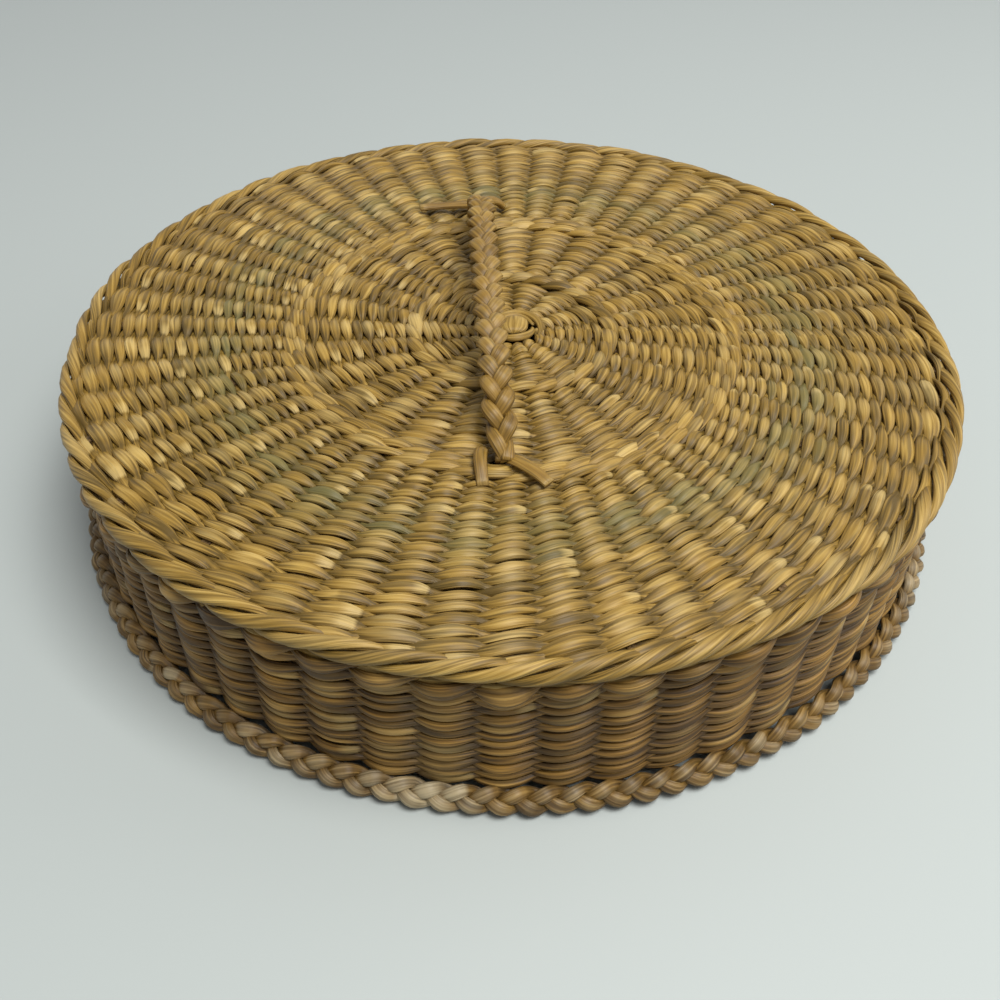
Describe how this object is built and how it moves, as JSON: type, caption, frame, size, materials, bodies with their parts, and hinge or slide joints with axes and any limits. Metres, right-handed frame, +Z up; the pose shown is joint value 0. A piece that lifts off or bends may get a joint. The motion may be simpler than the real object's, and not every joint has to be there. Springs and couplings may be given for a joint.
{
  "type": "tortilla warmer",
  "caption": "Round twined rush basket with a flat deep-skirted lid that slips over it, a plaited border and a low plaited handle across the lid.",
  "frame": {"origin": "on the table, under the middle of the basket", "axes": "+Z up, +X to the right and -Y towards the viewer of the picture"},
  "size_m": [0.2884, 0.2884, 0.0766],
  "materials": {
    "lid_rush": "twined rush, golden tan with faded green strands, dry satin",
    "skirt_rush": "twined rush, duller brown, fine rows",
    "border_rush": "three-strand rush plait, pale worn crowns",
    "handle_rush": "three-strand rush plait, rubbed smooth",
    "stake_rush": "flat rush stakes, hidden in the weave",
    "base_rush": "twined rush, unfaded golden tan"
  },
  "bodies": {
    "base": {"base_centre_button": "base_rush", "base_centre_weave": "base_rush", "base_inner_weave": "base_rush", "base_outer_weave": "base_rush", "base_corner_rope": "base_rush", "base_wall_weave": "base_rush", "base_rim_plait": "base_rush"},
    "lid": {"lid_centre_button": "lid_rush", "lid_centre_weave": "lid_rush", "lid_inner_weave": "lid_rush", "lid_outer_weave": "lid_rush", "lid_first_stakes": "stake_rush", "lid_second_stakes": "stake_rush", "lid_third_stakes": "stake_rush", "lid_first_ring": "lid_rush", "lid_second_ring": "lid_rush", "lid_corner_rope": "lid_rush", "lid_skirt_weave": "skirt_rush", "lid_corner_row": "skirt_rush", "lid_border_plait": "border_rush", "handle_near_left_tail": "handle_rush", "handle_near_right_tail": "handle_rush", "handle_far_long_tail": "handle_rush", "handle_far_short_tail": "handle_rush"},
    "handle": {"handle_strand_1": "handle_rush", "handle_strand_2": "handle_rush", "handle_strand_3": "handle_rush"}
  },
  "joints": [
    {"name": "lid_lift", "type": "slide", "parent": "base", "child": "lid", "axis": [0, 0, 1], "range_m": [0, 0.1]},
    {"name": "handle_tilt", "type": "hinge", "parent": "lid", "child": "handle", "pos_m": [-0.002, -0.065, 0.06139], "axis": [-0.0702, 0.9975, 0], "range_deg": [-35, 35], "stiffness_Nm_per_rad": 0.02}
  ]
}
